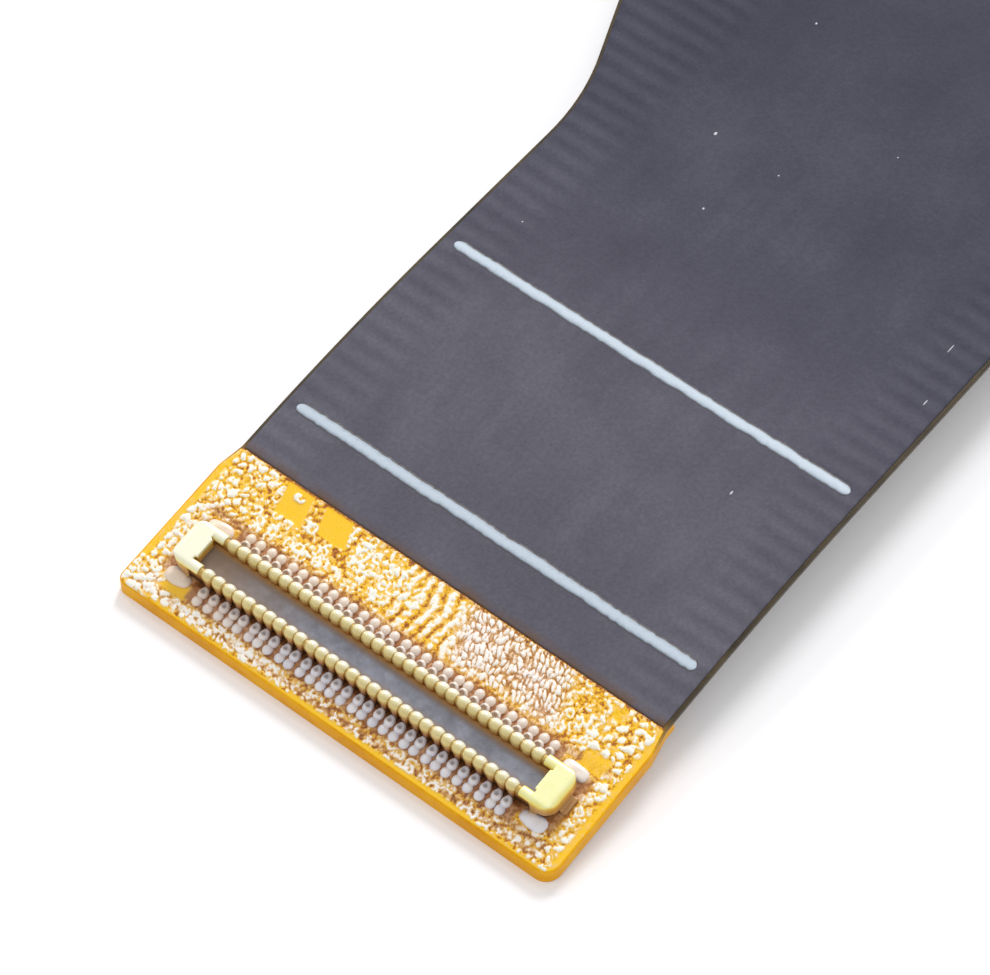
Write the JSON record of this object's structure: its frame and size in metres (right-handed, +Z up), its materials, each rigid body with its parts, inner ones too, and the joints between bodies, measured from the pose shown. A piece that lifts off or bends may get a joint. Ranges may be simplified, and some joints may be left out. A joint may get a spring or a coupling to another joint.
{
  "type": "flat flex cable",
  "caption": "Shielded flexible circuit strip with a low board-to-board plug on a stiffened, bare amber end, printed lines across it and one edge that flares to a wider middle.",
  "frame": {"origin": "middle of the part's bounding box, on the surface that it stands on", "axes": "+X along the strip from the near plug (the one at -X) to the far plug, +Y towards the edge that flares out, +Z up, out of the side with the plugs"},
  "size_m": [0.1098, 0.0204, 0.0021],
  "materials": {
    "polyimide": "satin amber film",
    "shield": "satin slate grey",
    "housing": "moulded blue-grey",
    "gold_plate": "gold plated",
    "solder": "bright solder",
    "ink": "printed"
  },
  "bodies": {
    "root": {"flex_circuit": "polyimide", "stiffener_near": "polyimide", "stiffener_far": "polyimide", "shield_film": "shield", "housing_near": "housing", "housing_far": "housing", "line_near_1": "ink", "line_near_2": "ink", "line_far_1": "ink", "line_far_2": "ink", "fitting_near_left": "gold_plate", "fitting_near_right": "gold_plate", "fitting_far_left": "gold_plate", "fitting_far_right": "gold_plate", "contacts_near_1": "gold_plate", "contacts_near_2": "gold_plate", "contacts_near_3": "gold_plate", "contacts_near_4": "gold_plate", "contacts_near_5": "gold_plate", "contacts_near_6": "gold_plate", "contacts_near_7": "gold_plate", "contacts_near_8": "gold_plate", "contacts_near_9": "gold_plate", "contacts_near_10": "gold_plate", "contacts_near_11": "gold_plate", "contacts_near_12": "gold_plate", "contacts_near_13": "gold_plate", "contacts_near_14": "gold_plate", "contacts_near_15": "gold_plate", "contacts_near_16": "gold_plate", "contacts_near_17": "gold_plate", "contacts_near_18": "gold_plate", "contacts_near_19": "gold_plate", "contacts_near_20": "gold_plate", "contacts_near_21": "gold_plate", "contacts_near_22": "gold_plate", "contacts_near_23": "gold_plate", "contacts_near_24": "gold_plate", "contacts_near_25": "gold_plate", "contacts_near_26": "gold_plate", "contacts_near_27": "gold_plate", "contacts_near_28": "gold_plate", "contacts_near_29": "gold_plate", "contacts_near_30": "gold_plate", "contacts_far_1": "gold_plate", "contacts_far_2": "gold_plate", "contacts_far_3": "gold_plate", "contacts_far_4": "gold_plate", "contacts_far_5": "gold_plate", "contacts_far_6": "gold_plate", "contacts_far_7": "gold_plate", "contacts_far_8": "gold_plate", "contacts_far_9": "gold_plate", "contacts_far_10": "gold_plate", "solder_near_outer": "solder", "solder_near_inner": "solder", "solder_far_outer": "solder", "solder_far_inner": "solder"}
  },
  "joints": []
}
